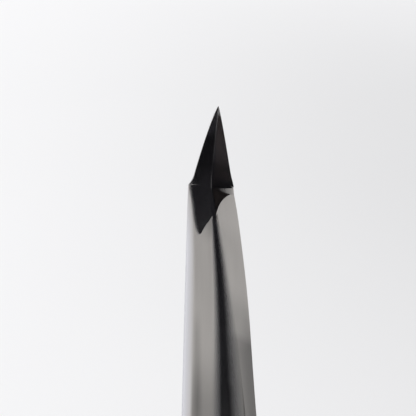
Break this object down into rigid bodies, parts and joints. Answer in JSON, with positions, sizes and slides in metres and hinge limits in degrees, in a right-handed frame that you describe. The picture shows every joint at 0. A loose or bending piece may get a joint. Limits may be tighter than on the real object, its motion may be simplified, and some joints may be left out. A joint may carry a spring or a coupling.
{
  "type": "boning knife",
  "caption": "Stiff narrow boning knife: full-tang steel blade with a ground point and bevelled spine, pinned steel bolsters and riveted wooden scales.",
  "frame": {"origin": "middle of the knife's length and thickness, at the height of the heel and the butt's beak", "axes": "+X along the blade towards the point, +Z from the cutting edge to the spine, +Y to the left looking towards the point"},
  "size_m": [0.28, 0.0176, 0.0255],
  "materials": {
    "blade_steel": "satin ground along the blade, polished at the point and along the spine",
    "bolster_steel": "polished",
    "handle_wood": "oiled dark hardwood",
    "rivet_metal": "ground flush and polished"
  },
  "bodies": {
    "root": {"blade": "blade_steel", "bolster_left": "bolster_steel", "bolster_right": "bolster_steel", "bolster_pin_lower": "bolster_steel", "bolster_pin_upper": "bolster_steel", "scale_left": "handle_wood", "scale_right": "handle_wood", "rivet_stud_front": "rivet_metal", "rivet_socket_front": "rivet_metal", "rivet_stud_middle": "rivet_metal", "rivet_socket_middle": "rivet_metal", "rivet_stud_rear": "rivet_metal", "rivet_socket_rear": "rivet_metal"}
  },
  "joints": []
}
